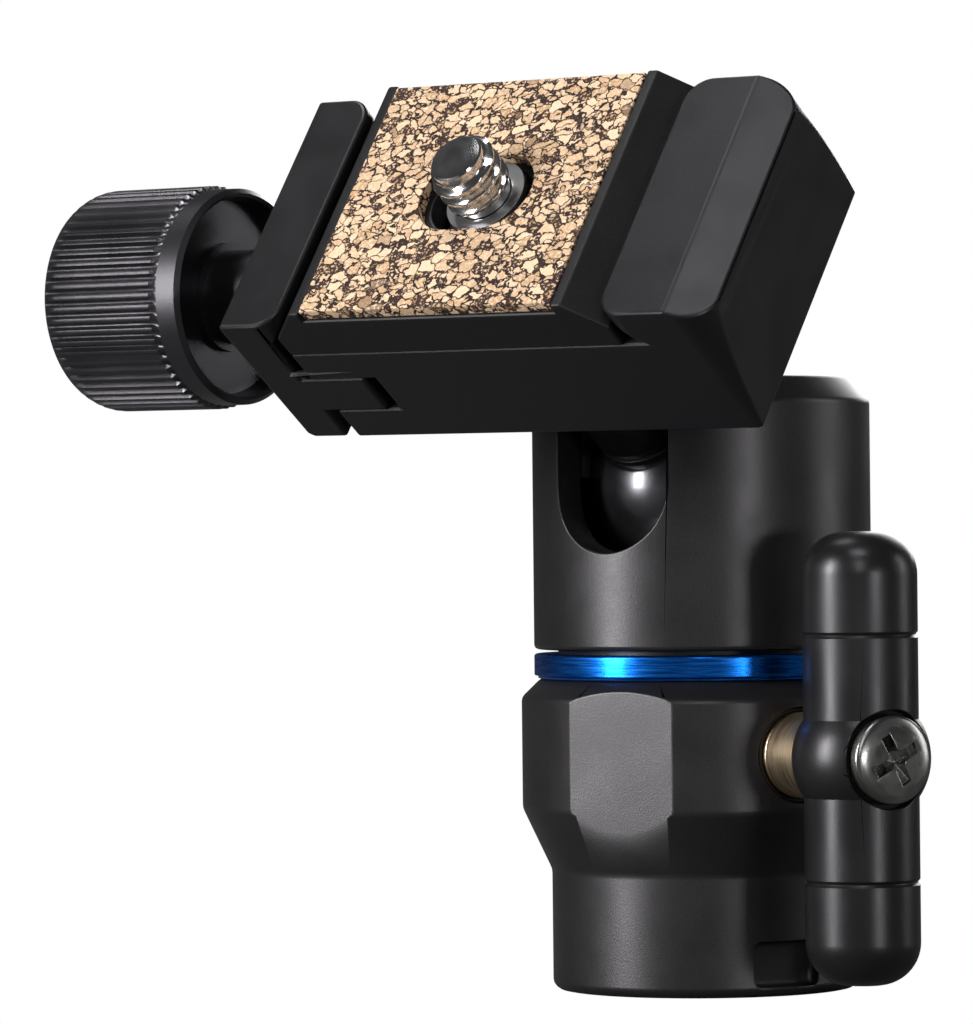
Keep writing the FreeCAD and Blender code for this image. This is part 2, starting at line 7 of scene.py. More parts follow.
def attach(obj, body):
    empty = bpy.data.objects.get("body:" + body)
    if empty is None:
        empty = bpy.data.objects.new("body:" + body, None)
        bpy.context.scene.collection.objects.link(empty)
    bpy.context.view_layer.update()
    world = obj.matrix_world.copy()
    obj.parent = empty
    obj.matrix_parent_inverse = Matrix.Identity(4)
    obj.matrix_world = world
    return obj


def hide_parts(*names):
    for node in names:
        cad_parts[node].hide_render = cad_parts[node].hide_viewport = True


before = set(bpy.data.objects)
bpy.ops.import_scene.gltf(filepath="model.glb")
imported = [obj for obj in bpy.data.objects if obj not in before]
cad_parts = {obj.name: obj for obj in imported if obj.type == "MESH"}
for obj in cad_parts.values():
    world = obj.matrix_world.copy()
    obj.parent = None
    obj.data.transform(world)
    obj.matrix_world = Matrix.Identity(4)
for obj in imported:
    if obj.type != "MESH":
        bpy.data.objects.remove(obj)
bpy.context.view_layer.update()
print("frame loaded")

# Every piece is drawn in millimetres in its own frame and placed in metres at the end.
mm = 0.001

headPose = {"ballZ": 46.2, "tilt": 54.0, "lean": -66.3}  # millimetres and degrees, as photographed

meshing = {
    "weld": 0.0005,      # points of a new mesh nearer than this are one
    "sliver": 0.02,      # points left by a cut nearer than this are one
    "flatAngle": 0.6,    # faces that differ by less than this are one, in degrees
    "toolSteps": 64,     # sides of a round cutting tool
}


def upright():
    return Matrix.Scale(mm, 4)


def onPlatform():
    # The clamp's frame: X across the jaws, Y up the slope, Z along the stem, from the ball's centre.
    lean, tilt = math.radians(headPose["lean"]), math.radians(headPose["tilt"])
    outward = Vector((math.sin(tilt) * math.cos(lean), math.sin(tilt) * math.sin(lean), math.cos(tilt)))
    across = Vector((-math.sin(lean), math.cos(lean), 0))
    upSlope = outward.cross(across)
    turn = Matrix((across, upSlope, outward)).transposed().to_4x4()
    return Matrix.Translation((0, 0, headPose["ballZ"] * mm)) @ turn @ Matrix.Scale(mm, 4)


def slotTurn():
    return Matrix.Rotation(math.radians(headPose["lean"]), 4, "Z")


def alongX(x, z):
    return Matrix.Translation((x, 0, z)) @ Matrix.Rotation(math.radians(90), 4, "Y")


def addNode(tree, kind, output=0, inputs=None, **settings):
    node = tree.nodes.new(kind)
    for key, value in settings.items():
        setattr(node, key, value)
    for key, value in (inputs or {}).items():
        if isinstance(value, Socket):
            tree.links.new(value.output, node.inputs[key])
        else:
            node.inputs[key].default_value = value
    if node.outputs:  # the output nodes have none
        return Socket(tree, node.outputs[output])


class Socket:
    # One output of a shader node, with the arithmetic that the materials use.

    def __init__(self, tree, output):
        self.tree = tree
        self.output = output

    def maths(self, operation, first, second):
        return addNode(self.tree, "ShaderNodeMath", 0, {0: first, 1: second}, operation=operation)

    def __add__(self, other):
        return self.maths("ADD", self, other)

    def __radd__(self, other):
        return self.maths("ADD", other, self)

    def __mul__(self, other):
        return self.maths("MULTIPLY", self, other)

    def __rmul__(self, other):
        return self.maths("MULTIPLY", other, self)

    def step(self, low, high, outLow=0.0, outHigh=1.0):
        return addNode(
            self.tree, "ShaderNodeMapRange", 0, {0: self, 1: low, 2: high, 3: outLow, 4: outHigh},
            interpolation_type="SMOOTHSTEP")


class Surface:
    # A material under construction.

    def __init__(self, name):
        self.material = bpy.data.materials.new(name)
        self.material.use_nodes = True
        self.tree = self.material.node_tree
        self.shader = self.tree.nodes["Principled BSDF"]

    def node(self, kind, output=0, inputs=None, **settings):
        return addNode(self.tree, kind, output, inputs, **settings)

    def place(self, scale=(1, 1, 1)):
        # A dressed piece's own millimetres. The kept nodes have no such attribute and take a single tone.
        own = self.node("ShaderNodeAttribute", "Vector", attribute_name="ownPlace")
        return self.node("ShaderNodeMapping", 0, {"Vector": own, "Scale": scale})

    def noise(self, size, detail=3.0, scale=(1, 1, 1), roughness=0.55):
        return self.node("ShaderNodeTexNoise", 0, {
            "Vector": self.place(scale), "Scale": 1.0 / size, "Detail": detail, "Roughness": roughness})

    def blend(self, factor, low, high):
        low, high = (c if isinstance(c, Socket) else c + (1.0,) for c in (low, high))
        return self.node("ShaderNodeMix", 2, {0: factor, 6: low, 7: high}, data_type="RGBA")

    def bump(self, height, strength, distance):
        self.feed("Normal", self.node(
            "ShaderNodeBump", 0, {"Height": height, "Strength": strength, "Distance": distance * mm}))

    def feed(self, name, value):
        self.tree.links.new(value.output, self.shader.inputs[name])

    def fix(self, **values):
        for name, value in values.items():
            socket = self.shader.inputs[name.replace("_", " ")]
            socket.default_value = value
        return self


midTones = {"low": 0.3, "high": 0.7}  # the part of a noise's range that holds most of it

blastLook = {
    "fineShare": 0.7, "broadShare": 0.3, "broadSize": 6.0, "smoother": 0.03, "rougher": 0.04,
    "bump": 0.35, "depth": 0.025,
}


def blastedMetal(name, low, high, roughness, metallic, grain=0.16):
    s = blastLook
    surface = Surface(name)
    fine = surface.noise(grain, 2.0)
    broad = surface.noise(s["broadSize"], 3.0)
    surface.feed("Base Color", surface.blend(fine * s["fineShare"] + broad * s["broadShare"], low, high))
    surface.feed("Roughness", broad.step(
        midTones["low"], midTones["high"], roughness - s["smoother"], roughness + s["rougher"]))
    surface.bump(fine, s["bump"], s["depth"])
    return surface.fix(Metallic=metallic).material


turnedLook = {"drawnOut": 0.25, "spread": 0.09, "smoother": 0.04, "bump": 0.25, "depth": 0.012}


def turnedMetal(name, low, high, roughness, pitch):
    # Tool marks round the piece's own Z axis.
    s = turnedLook
    surface = Surface(name)
    lines = surface.noise(1.0, 2.0, (s["drawnOut"], s["drawnOut"], 1.0 / pitch), 0.6)
    tone = lines.step(midTones["low"], midTones["high"])
    surface.feed("Base Color", surface.blend(tone, low, high))
    surface.feed("Roughness", tone * s["spread"] + (roughness - s["smoother"]))
    surface.bump(lines, s["bump"], s["depth"])
    return surface.fix(Metallic=1.0).material


corkLook = {
    "chipScale": 0.95, "chipStretch": (0.80, 1.10, 0.9), "wanderSize": 1.2, "wanderShare": 0.22,
    "bendScale": 1.1, "bendBy": 1.5, "crumbSize": 0.28,
    "darkTan": (0.56, 0.33, 0.17), "lightTan": (0.90, 0.64, 0.42), "palest": (0.97, 0.78, 0.58),
    "binder": (0.035, 0.022, 0.020), "darkChip": (0.06, 0.035, 0.03),
    "palestRange": (0.4, 0.8), "binderRange": (0.150, 0.205),
    "darkChipRange": (0.78, 0.84), "darkCrumbRange": (0.40, 0.50),
    "bump": 0.6, "depth": 0.15, "roughness": 0.85, "specular": 0.2,
}


def corkMaterial():
    s = corkLook
    surface = Surface("cork")
    wander = surface.noise(s["wanderSize"], 2.0)
    bend = surface.node(
        "ShaderNodeTexNoise", 1, {"Vector": surface.place(), "Scale": s["bendScale"], "Detail": 3.0})
    bend = surface.node("ShaderNodeVectorMath", 0, {0: bend, 1: (-0.5, -0.5, -0.5)}, operation="ADD")
    bend = surface.node("ShaderNodeVectorMath", 0, {0: bend, "Scale": s["bendBy"]}, operation="SCALE")
    bent = surface.node(
        "ShaderNodeVectorMath", 0, {0: surface.place(s["chipStretch"]), 1: bend}, operation="ADD")
    cells = {"Vector": bent, "Scale": s["chipScale"], "Randomness": 1.0}
    chips = surface.node("ShaderNodeTexVoronoi", "Color", cells)
    chipTone = surface.node("ShaderNodeSeparateColor", 0, {0: chips})
    chipKind = surface.node("ShaderNodeSeparateColor", 1, {0: chips})
    edge = surface.node("ShaderNodeTexVoronoi", "Distance", cells, feature="DISTANCE_TO_EDGE")
    crumbs = surface.noise(s["crumbSize"], 4.0)
    tan = surface.blend(chipTone, s["darkTan"], s["lightTan"])
    tan = surface.blend(crumbs.step(*s["palestRange"]), tan, s["palest"])
    isChip = (edge + wander * s["wanderShare"]).step(*s["binderRange"])
    isDark = chipKind.step(*s["darkChipRange"]) * crumbs.step(*s["darkCrumbRange"])
    tone = surface.blend(isChip, s["binder"], tan)
    tone = surface.blend(isDark, tone, s["darkChip"])
    surface.feed("Base Color", tone)
    surface.bump(isChip * 0.7 + crumbs * 0.3, s["bump"], s["depth"])
    return surface.fix(Roughness=s["roughness"], Specular_IOR_Level=s["specular"]).material


polymerLook = {"grain": 0.3, "darker": 0.8, "bump": 0.15, "depth": 0.02}


def plainPolymer(name, tone, roughness):
    s = polymerLook
    surface = Surface(name)
    grain = surface.noise(s["grain"], 2.0)
    dark = tuple(c * s["darker"] for c in tone)
    surface.feed("Base Color", surface.blend(grain, dark, tone))
    surface.bump(grain, s["bump"], s["depth"])
    return surface.fix(Roughness=roughness).material


polishLook = {
    "hazeSize": 3.0, "low": (0.060, 0.060, 0.066), "high": (0.090, 0.090, 0.098), "roughness": (0.22, 0.27),
    "metallic": 0.9, "coat": 0.3, "coatRoughness": 0.08,
}


def polishedBlack(name):
    s = polishLook
    surface = Surface(name)
    haze = surface.noise(s["hazeSize"], 3.0)
    surface.feed("Base Color", surface.blend(haze, s["low"], s["high"]))
    surface.feed("Roughness", haze.step(midTones["low"], midTones["high"], *s["roughness"]))
    return surface.fix(
        Metallic=s["metallic"], Coat_Weight=s["coat"], Coat_Roughness=s["coatRoughness"]).material


# Blasted: darkest and lightest colour, roughness, metallic, grain. Turned: colours, roughness, pitch of
# the marks.
surfaces = {
    "blasted": blastedMetal("blastedCharcoal", (0.040, 0.038, 0.040), (0.075, 0.072, 0.075), 0.38, 0.8),
    "clamp": blastedMetal("blastedClamp", (0.026, 0.025, 0.027), (0.042, 0.041, 0.044), 0.36, 0.7, 0.13),
    "plate": blastedMetal("texturedPlate", (0.014, 0.014, 0.015), (0.032, 0.031, 0.033), 0.45, 0.6, 0.30),
    "lever": blastedMetal("blastedLever", (0.034, 0.033, 0.035), (0.060, 0.058, 0.061), 0.34, 0.8, 0.13),
    "blue": turnedMetal("blueRing", (0.0, 0.12, 0.60), (0.02, 0.22, 0.86), 0.26, 0.10),
    "brass": turnedMetal("turnedBrass", (0.78, 0.56, 0.34), (0.98, 0.80, 0.56), 0.34, 0.22),
    "knob": blastedMetal("satinKnob", (0.060, 0.057, 0.063), (0.090, 0.086, 0.094), 0.30, 0.85, 0.14),
    "steel": turnedMetal("brightSteel", (0.62, 0.62, 0.62), (0.80, 0.80, 0.80), 0.13, 0.18),
    "nickel": turnedMetal("blackNickel", (0.22, 0.22, 0.21), (0.34, 0.34, 0.33), 0.26, 0.25),
    "plain": turnedMetal("plainSteel", (0.38, 0.38, 0.39), (0.50, 0.50, 0.51), 0.32, 0.20),
    "polymer": plainPolymer("seatPolymer", (0.022, 0.022, 0.023), 0.45),
    "rubber": plainPolymer("sealRubber", (0.015, 0.015, 0.015), 0.6),
    "ball": polishedBlack("polishedBall"),
    "cork": corkMaterial(),
}
print("materials ready")


def select(obj):
    bpy.ops.object.select_all(action="DESELECT")
    obj.select_set(True)
    bpy.context.view_layer.objects.active = obj


def applied(obj, kind, **settings):
    modifier = obj.modifiers.new(kind.lower(), kind)
    for key, value in settings.items():
        setattr(modifier, key, value)
    select(obj)
    bpy.ops.object.modifier_apply(modifier=modifier.name)
    return obj


def meshObject(name, points, edges, faces):
    mesh = bpy.data.meshes.new(name)
    mesh.from_pydata(points, edges, faces)
    obj = bpy.data.objects.new(name, mesh)
    bpy.context.scene.collection.objects.link(obj)
    return obj


def outwards(obj):
    select(obj)
    bpy.ops.object.mode_set(mode="EDIT")
    bpy.ops.mesh.select_all(action="SELECT")
    bpy.ops.mesh.remove_doubles(threshold=meshing["weld"])
    bpy.ops.mesh.normals_make_consistent(inside=False)
    bpy.ops.object.mode_set(mode="OBJECT")
    return obj


def lathe(name, profile, steps, closed=False):
    # Turns an outline of (radius, height) points round the Z axis.
    points = [(r, 0, z) for r, z in profile]
    edges = [(i, i + 1) for i in range(len(points) - 1)]
    if closed:
        edges.append((len(points) - 1, 0))
    obj = meshObject(name, points, edges, [])
    applied(obj, "SCREW", angle=math.tau, steps=steps, render_steps=steps, axis="Z", use_merge_vertices=True)
    return outwards(obj)


def softened(profile, radius, skip=()):
    # Each corner becomes three points, where there is room: its two ends and one halfway in to the corner.
    room = 0.45
    result = []
    for i, corner in enumerate(profile):
        if i in (0, len(profile) - 1) or i in skip:
            result.append(corner)
            continue
        here = Vector(corner)
        before, after = Vector(profile[i - 1]) - here, Vector(profile[i + 1]) - here
        size = min(radius, before.length * room, after.length * room)
        start, end = here + before.normalized() * size, here + after.normalized() * size
        middle = (start + end) * 0.25 + here * 0.5
        result += [tuple(start), tuple(middle), tuple(end)]
    return result


def prism(name, profile, halfLength):
    # Stretches an outline of (x, z) points along Y, as far each way.
    count = len(profile)
    points = [(x, -halfLength, z) for x, z in profile] + [(x, halfLength, z) for x, z in profile]
    faces = [tuple(range(count)), tuple(range(2 * count - 1, count - 1, -1))]
    faces += [(i, (i + 1) % count, (i + 1) % count + count, i + count) for i in range(count)]
    return outwards(meshObject(name, points, [], faces))


def rod(radius, start, end):
    return lathe("tool", [(0, start), (radius, start), (radius, end), (0, end)], meshing["toolSteps"])


def moved(obj, matrix):
    obj.data.transform(matrix)
    return obj


def block(x0, x1, y0, y1, z0, z1):
    obj = prism("tool", [(x0, z0), (x1, z0), (x1, z1), (x0, z1)], (y1 - y0) / 2)
    return moved(obj, Matrix.Translation((0, (y0 + y1) / 2, 0)))


def carved(obj, *tools, operation="DIFFERENCE"):
    for tool in tools:
        applied(obj, "BOOLEAN", operation=operation, object=tool, solver="EXACT")
        bpy.data.objects.remove(tool)
    return obj


def bored(obj, z, *holes):
    # Round holes along X at one height, each given as its radius, start and end.
    for radius, start, end in holes:
        carved(obj, moved(rod(radius, start, end), alongX(0, z)))
    return obj


def cleaned(obj, flat):
    # Takes out the slivers that the cuts leave, so that the bevels have room.
    select(obj)
    bpy.ops.object.mode_set(mode="EDIT")
    bpy.ops.mesh.select_all(action="SELECT")
    bpy.ops.mesh.remove_doubles(threshold=meshing["sliver"])
    if flat:
        bpy.ops.mesh.dissolve_limited(angle_limit=math.radians(meshing["flatAngle"]))
    bpy.ops.object.mode_set(mode="OBJECT")


def bevelled(obj, width, segments=2, angle=32, flat=False):
    cleaned(obj, flat)
    return applied(
        obj, "BEVEL", width=width, segments=segments, limit_method="ANGLE", angle_limit=math.radians(angle),
        use_clamp_overlap=False)


def done(obj, name, place, surface, body, node, angle=38):
    obj.name = obj.data.name = name
    mesh = obj.data
    mesh.polygons.foreach_set("use_smooth", [True] * len(mesh.polygons))
    mesh.set_sharp_from_angle(angle=math.radians(angle))
    own = mesh.attributes.new("ownPlace", "FLOAT_VECTOR", "POINT")
    own.data.foreach_set("vector", [c for v in mesh.vertices for c in v.co])
    mesh.transform(place)
    applied(obj, "WEIGHTED_NORMAL", keep_sharp=True, weight=60)
    mesh.materials.clear()
    mesh.materials.append(surfaces[surface])
    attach(obj, body)
    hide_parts(node)
    print("piece", name, len(mesh.polygons))


lockDrum = {
    # From the hole in the underside outwards and up. The last point only shapes the edge before it.
    "outline": [(9.02, 0), (13.45, 0), (14.05, 0.6), (14.05, 11.0), (16.7, 16.65), (16.7, 26.8), (14.9,
                28.55),
                (5.6, 28.55)],
    "inside": [(5.55, 28.55), (5.55, 26.6), (8.2, 26.6), (8.2, 9.0), (9.02, 9.0)],
    "soft": 0.35, "steps": 192, "bevel": 0.12,
    "radius": 16.7, "flatDepth": 0.8, "flats": (60, 180, 300), "flatTool": (25, 20, 9, 30),
    "notchDepth": 12.55, "notchHalf": 3.4, "notchLow": 0.9, "notchHigh": 5.0, "notchBevel": 0.6, "past": 20,
    "leverZ": 21.8, "shaftHoles": ((3.9, 5, 20), (4.35, 15.6, 20)),
}


def makeDrum():
    s = lockDrum
    drum = lathe("lockDrum", softened(s["outline"], s["soft"])[:-1] + s["inside"], s["steps"], closed=True)
    reach, half, low, high = s["flatTool"]
    for angle in s["flats"]:
        tool = block(s["radius"] - s["flatDepth"], reach, -half, half, low, high)
        carved(drum, moved(tool, Matrix.Rotation(math.radians(angle), 4, "Z")))
    notch = block(s["notchDepth"], s["past"], -s["notchHalf"], s["notchHalf"], s["notchLow"], s["notchHigh"])
    carved(drum, bevelled(notch, s["notchBevel"]))
    bored(drum, s["leverZ"], *s["shaftHoles"])
    bevelled(drum, s["bevel"])
    done(drum, "lockDrum", upright(), "blasted", "base", "lock_body")


makeDrum()

thread = {"steps": 72, "steepness": 1.9, "valley": 0.45}


def threadRows(low, high, core, crest, pitch, rowsPerTurn, fade):
    # Points of a screw thread's surface, row by row upwards. The thread fades out towards both ends.
    rows = int((high - low) / pitch * rowsPerTurn)
    steps = thread["steps"]
    result = []
    for row in range(rows + 1):
        z = low + (high - low) * row / rows
        ends = min(1.0, max(0.0, min(z - low, high - z) / fade))
        for k in range(steps):
            phase = (z / pitch - k / steps) % 1.0
            tooth = min(1.0, max(0.0, thread["steepness"] * abs(2 * phase - 1) - thread["valley"]))
            radius = core + (crest - core) * tooth * ends
            angle = math.tau * k / steps
            result.append((radius * math.cos(angle), radius * math.sin(angle), z))
    return result, rows


def gridFaces(rows, steps):
    return [(r * steps + k, r * steps + (k + 1) % steps, (r + 1) * steps + (k + 1) % steps,
            (r + 1) * steps + k)
            for r in range(rows) for k in range(steps)]


def addRings(points, faces, last, rings, steps):
    # Joins further rings, each given as its radius and height, to the ring that starts at the point last.
    for radius, z in rings:
        start = len(points)
        points += [(radius * math.cos(math.tau * k / steps), radius * math.sin(math.tau * k / steps), z)
                   for k in range(steps)]
        faces += [(last + k, last + (k + 1) % steps, start + (k + 1) % steps,
            start + k) for k in range(steps)]
        last = start
    return last


def capFace(start, steps):
    return tuple(start + k for k in range(steps))


bush = {
    "core": 3.97, "outer": 9.0, "height": 9.0, "pitch": 1.5875, "depth": 0.55,
    "threadLow": 0.7, "threadTopGap": 0.3, "rowsPerTurn": 12, "fade": 0.5, "mouth": 0.9,
}


def makeBush():
    s = bush
    steps = thread["steps"]
    valley = s["core"] + s["depth"]
    points, rows = threadRows(
        s["threadLow"], s["height"] - s["threadTopGap"], valley, s["core"], s["pitch"], s["rowsPerTurn"],
        s["fade"])
    faces = gridFaces(rows, steps)
    rings = [(valley, s["height"]), (s["outer"], s["height"]), (s["outer"], 0.0), (s["core"] + s["mouth"],
        0.0)]
    last = addRings(points, faces, rows * steps, rings, steps)
    faces += [(last + k, last + (k + 1) % steps, (k + 1) % steps, k) for k in range(steps)]
    piece = outwards(meshObject("tripodBush", points, [], faces))
    done(piece, "tripodBush", upright(), "plain", "base", "tripod_bush")


makeBush()

ring = {
    "inner": 13.32, "outer": 15.5, "low": 28.55, "high": 30.8,
    "footIn": 0.35, "footHigh": 0.2, "lipHigh": 0.3, "rim": 0.16, "soft": 0.07, "steps": 192,
}


def makeRing():
    s = ring
    outline = [(s["inner"], s["low"]), (s["outer"] - s["footIn"], s["low"]),
               (s["outer"] - s["footIn"], s["low"] + s["footHigh"]), (s["outer"], s["low"] + s["lipHigh"]),
               (s["outer"], s["high"] - s["rim"]), (s["outer"] - s["rim"], s["high"]), (s["inner"],
               s["high"])]
    piece = lathe("panRing", softened(outline, s["soft"]), s["steps"], closed=True)
    done(piece, "panRing", upright(), "blue", "base", "pan_ring", 50)


makeRing()

housing = {
    "outline": [(5.52, 31.2), (15.25, 31.2), (15.5, 31.45), (15.5, 53.7), (13.6, 55.9), (11.1, 55.9), (9.9,
                52.4),
                (12.2, 52.4), (12.2, 33.4), (5.52, 33.4)],
    "soft": 0.32, "leftSharp": (1, 2, 6, 7, 8), "steps": 192, "bevel": 0.22,
    "slotHalf": 5.95, "slotZ": 46.0, "slotTop": 70, "slotReach": 30, "slotSteps": 32,
}


def slotTool():
    # An upright slot towards +X with a round lower end, turned to where the stem drops.
    s = housing
    half, count = s["slotHalf"], s["slotSteps"]
    outline = [(half, s["slotTop"]), (-half, s["slotTop"])]
    outline += [(-half * math.cos(math.pi * i / count), s["slotZ"] - half * math.sin(math.pi * i / count))
                for i in range(count + 1)]
    points = [(x, y, z) for x in (0, s["slotReach"]) for y, z in outline]
    size = len(outline)
    faces = [tuple(range(size)), tuple(range(2 * size - 1, size - 1, -1))]
    faces += [(i, (i + 1) % size, (i + 1) % size + size, i + size) for i in range(size)]
    return moved(outwards(meshObject("tool", points, [], faces)), slotTurn())


def makeHousing():
    s = housing
    shell = lathe("ballHousing", softened(s["outline"], s["soft"], s["leftSharp"]), s["steps"], closed=True)
    carved(shell, slotTool())
    bevelled(shell, s["bevel"], 3, 40)
    done(shell, "ballHousing", upright(), "blasted", "housing", "ball_housing")


makeHousing()

ballAndStem = {
    "radius": 11.0, "ballSteps": 128, "arcSteps": 72, "holeR": 3.02, "holeDepth": 7.5,
    "stem": 5.2, "stemSteps": 96, "spigotR": 3.0, "spigotDepth": 7.0,
    "groove": 4.7, "grooveEdges": (0.8, 0.9, 1.5, 1.6),
    "flareZ": 20.9, "flareR": 2.9, "flareH": 2.95, "flareAngles": (0.3, 0.6, 0.9, 1.2, 1.42),
    "flange": [(8.0, 24.0), (8.0, 25.45), (4.0, 25.45), (4.0, 26.95), (2.5, 26.95), (2.5, 21.0), (0, 21.0)],
    "soft": 0.12, "leftSharp": range(9, 15),  # the flare's points and the flange's first
}


def makeBall():
    s = ballAndStem
    top = math.sqrt(s["radius"] ** 2 - s["stem"] ** 2)
    start = math.asin(top / s["radius"])
    count = s["arcSteps"]
    arc = [(s["radius"] * math.cos(a), s["radius"] * math.sin(a))
           for a in [start - (start + math.pi / 2) * i / count for i in range(count + 1)]]
    arc[-1] = (0, -s["radius"])
    hole = [(0, top - s["holeDepth"]), (s["holeR"], top - s["holeDepth"]), (s["holeR"], top)]
    piece = lathe("ballSphere", hole + arc, s["ballSteps"])
    done(piece, "ballSphere", onPlatform(), "ball", "ball", "ball")


def makeStem():
    s = ballAndStem
    top = math.sqrt(s["radius"] ** 2 - s["stem"] ** 2)
    g = [top + height for height in s["grooveEdges"]]
    outline = [(0, top - s["spigotDepth"]), (s["spigotR"], top - s["spigotDepth"]), (s["spigotR"], top),
               (s["stem"], top), (s["stem"], g[0]), (s["groove"], g[1]), (s["groove"], g[2]), (s["stem"],
               g[3]),
               (s["stem"], s["flareZ"])]
    outline += [(s["stem"] + s["flareR"] * (1 - math.cos(a)), s["flareZ"] + s["flareH"] * math.sin(a))
                for a in s["flareAngles"]]
    stem = lathe("stemPost", softened(outline + s["flange"], s["soft"], s["leftSharp"]), s["stemSteps"])
    done(stem, "stemPost", onPlatform(), "ball", "platform", "stem", 30)


makeBall()
makeStem()

clampBody = {
    "half": 12.9, "left": -17.95, "under": 25.45, "underRight": 25.7, "right": 28.0, "sideTop": 39.9,
    "creaseX": 24.4, "seat": 37.6, "top": 41.9, "lip": 17.3,
    "dovetail": 58.02,  # x plus z anywhere on the dovetail's flank
    "slotEnd": -10.85, "slotLow": 29.3, "slotHigh": 33.95, "cornerR": 3.1, "lipR": 2.5,
    "toolLow": 24, "toolHigh": 44, "cornerTool": 6,
    "stemHoles": ((4.05, 24, 27.0), (2.5, 26, 40), (4.55, 36.65, 40)),
    "screwZ": 30.1, "screwHoles": ((2.75, -20, -4.4), (3.42, -12, -4.85)), "bevel": 0.28,
}


def cornerTool(x, y, radius, side, sideX, z0, z1):
    # What a rounded upright corner takes away: a square corner less a rod.
    reach = clampBody["cornerTool"]
    tool = block(min(x, x + sideX * reach), max(x, x + sideX * reach),
                 min(y, y + side * reach), max(y, y + side * reach), z0, z1)
    return carved(tool, moved(rod(radius, z0 - 1, z1 + 1), Matrix.Translation((x, y, 0))))


def makeClamp():
    s = clampBody
    outline = [(s["left"], s["under"]), (s["underRight"], s["under"]), (s["right"], s["sideTop"]),
               (s["creaseX"], s["top"]), (s["lip"], s["top"]), (s["lip"], s["dovetail"] - s["lip"]),
               (s["dovetail"] - s["seat"], s["seat"]), (s["left"], s["seat"]), (s["left"], s["slotHigh"]),
               (s["slotEnd"], s["slotHigh"]), (s["slotEnd"], s["slotLow"]), (s["left"], s["slotLow"])]
    body = prism("clampBody", outline, s["half"])
    for side in (-1, 1):
        inset = side * (s["half"] - s["cornerR"])
        carved(body, cornerTool(
            s["right"] - s["cornerR"], inset, s["cornerR"], side, 1, s["toolLow"], s["toolHigh"]))
        inset = side * (s["half"] - s["lipR"])
        carved(body, cornerTool(s["lip"] + s["lipR"], inset, s["lipR"], side, -1, s["seat"], s["toolHigh"]))
    for radius, low, high in s["stemHoles"]:
        carved(body, rod(radius, low, high))
    bored(body, s["screwZ"], *s["screwHoles"])
    bevelled(body, s["bevel"], 3, 24, flat=True)
    done(body, "clampBody", onPlatform(), "clamp", "platform", "clamp_base", 13)


makeClamp()

jaw = {
    "half": 12.9, "outer": -23.5, "inner": -19.15, "lip": -17.3, "under": 25.45, "top": 41.9,
    "footIn": 0.6, "footTop": 26.05, "tongueEnd": -12.25, "tongueLow": 29.35, "tongueHigh": 33.9,
    "flankLow": 38.87, "flankHigh": 40.72, "lipR": 2.5, "toolLow": 35, "toolHigh": 44,
    "screwZ": 30.1, "screwHole": (2.75, -25, -10), "bevel": 0.36,
}


def makeJaw():
    s = jaw
    outline = [(s["outer"] + s["footIn"], s["under"]), (s["inner"], s["under"]), (s["inner"], s["tongueLow"]),
               (s["tongueEnd"], s["tongueLow"]), (s["tongueEnd"], s["tongueHigh"]),
               (s["inner"], s["tongueHigh"]), (s["inner"], s["flankLow"]), (s["lip"], s["flankHigh"]),
               (s["lip"], s["top"]), (s["outer"], s["top"]), (s["outer"], s["footTop"])]
    body = prism("slidingJaw", outline, s["half"])
    for side in (-1, 1):
        inset = side * (s["half"] - s["lipR"])
        carved(body, cornerTool(s["lip"] - s["lipR"], inset, s["lipR"], side, 1, s["toolLow"], s["toolHigh"]))
    bored(body, s["screwZ"], s["screwHole"])
    bevelled(body, s["bevel"], 3, 24, flat=True)
    done(body, "slidingJaw", onPlatform(), "clamp", "jaw", "movable_jaw", 13)


makeJaw()

knob = {
    "z": 30.1, "inner": -33.9, "flutes": 60, "stepsPerFlute": 10, "depth": 0.5, "grooveShare": 0.62,
    "grooveShape": 2.4,
    # From the jaw's side outwards: height, outer radius and how much of the flute's depth shows there.
    "rows": [(0.0, 9.5, 0), (0.4, 9.95, 0), (2.45, 9.98, 0), (2.5, 9.9, 0), (2.75, 9.95, 0.2), (3.1, 10.3,
             0.95),
             (3.3, 10.3, 1), (5, 10.3, 1), (8, 10.3, 1), (11, 10.3, 1), (14.2, 10.3, 1), (14.6, 10.27, 1),
             (15.1, 10.15, 0.8), (15.6, 9.92, 0.35), (15.85, 9.75, 0), (16.1, 9.4, 0), (16.25, 8.9, 0),
             (16.3, 8.2, 0), (16.3, 3.0, 0)],
    # The dish on the jaw's side, the collar and neck that stand in it, and the screw's hole.
    "inside": [(9.2, 0.25), (8.9, 2.3), (5.0, 2.3), (5.0, 1.5), (4.3, 1.5), (4.3, -9.77), (2.47, -9.77),
               (2.47, 7.0)],
}


def makeKnob():
    s = knob
    steps = s["flutes"] * s["stepsPerFlute"]
    points = []
    for z, radius, share in s["rows"]:
        for k in range(steps):
            phase = (k / s["stepsPerFlute"]) % 1.0
            groove = max(0.0, 1.0 - (2.0 * abs(phase - 0.5) / s["grooveShare"]) ** s["grooveShape"])
            r = radius - s["depth"] * share * groove
            angle = math.tau * k / steps
            points.append((r * math.cos(angle), r * math.sin(angle), z))
    rows = len(s["rows"]) - 1
    faces = gridFaces(rows, steps)
    faces.append(capFace(rows * steps, steps))
    last = addRings(points, faces, 0, s["inside"], steps)
    faces.append(capFace(last, steps))
    piece = outwards(meshObject("flutedKnob", points, [], faces))
    spot = Matrix.Translation((s["inner"], 0, s["z"])) @ Matrix.Rotation(math.radians(-90), 4, "Y")
    done(piece, "flutedKnob", onPlatform() @ spot, "knob", "knob", "clamp_knob", 34)


makeKnob()

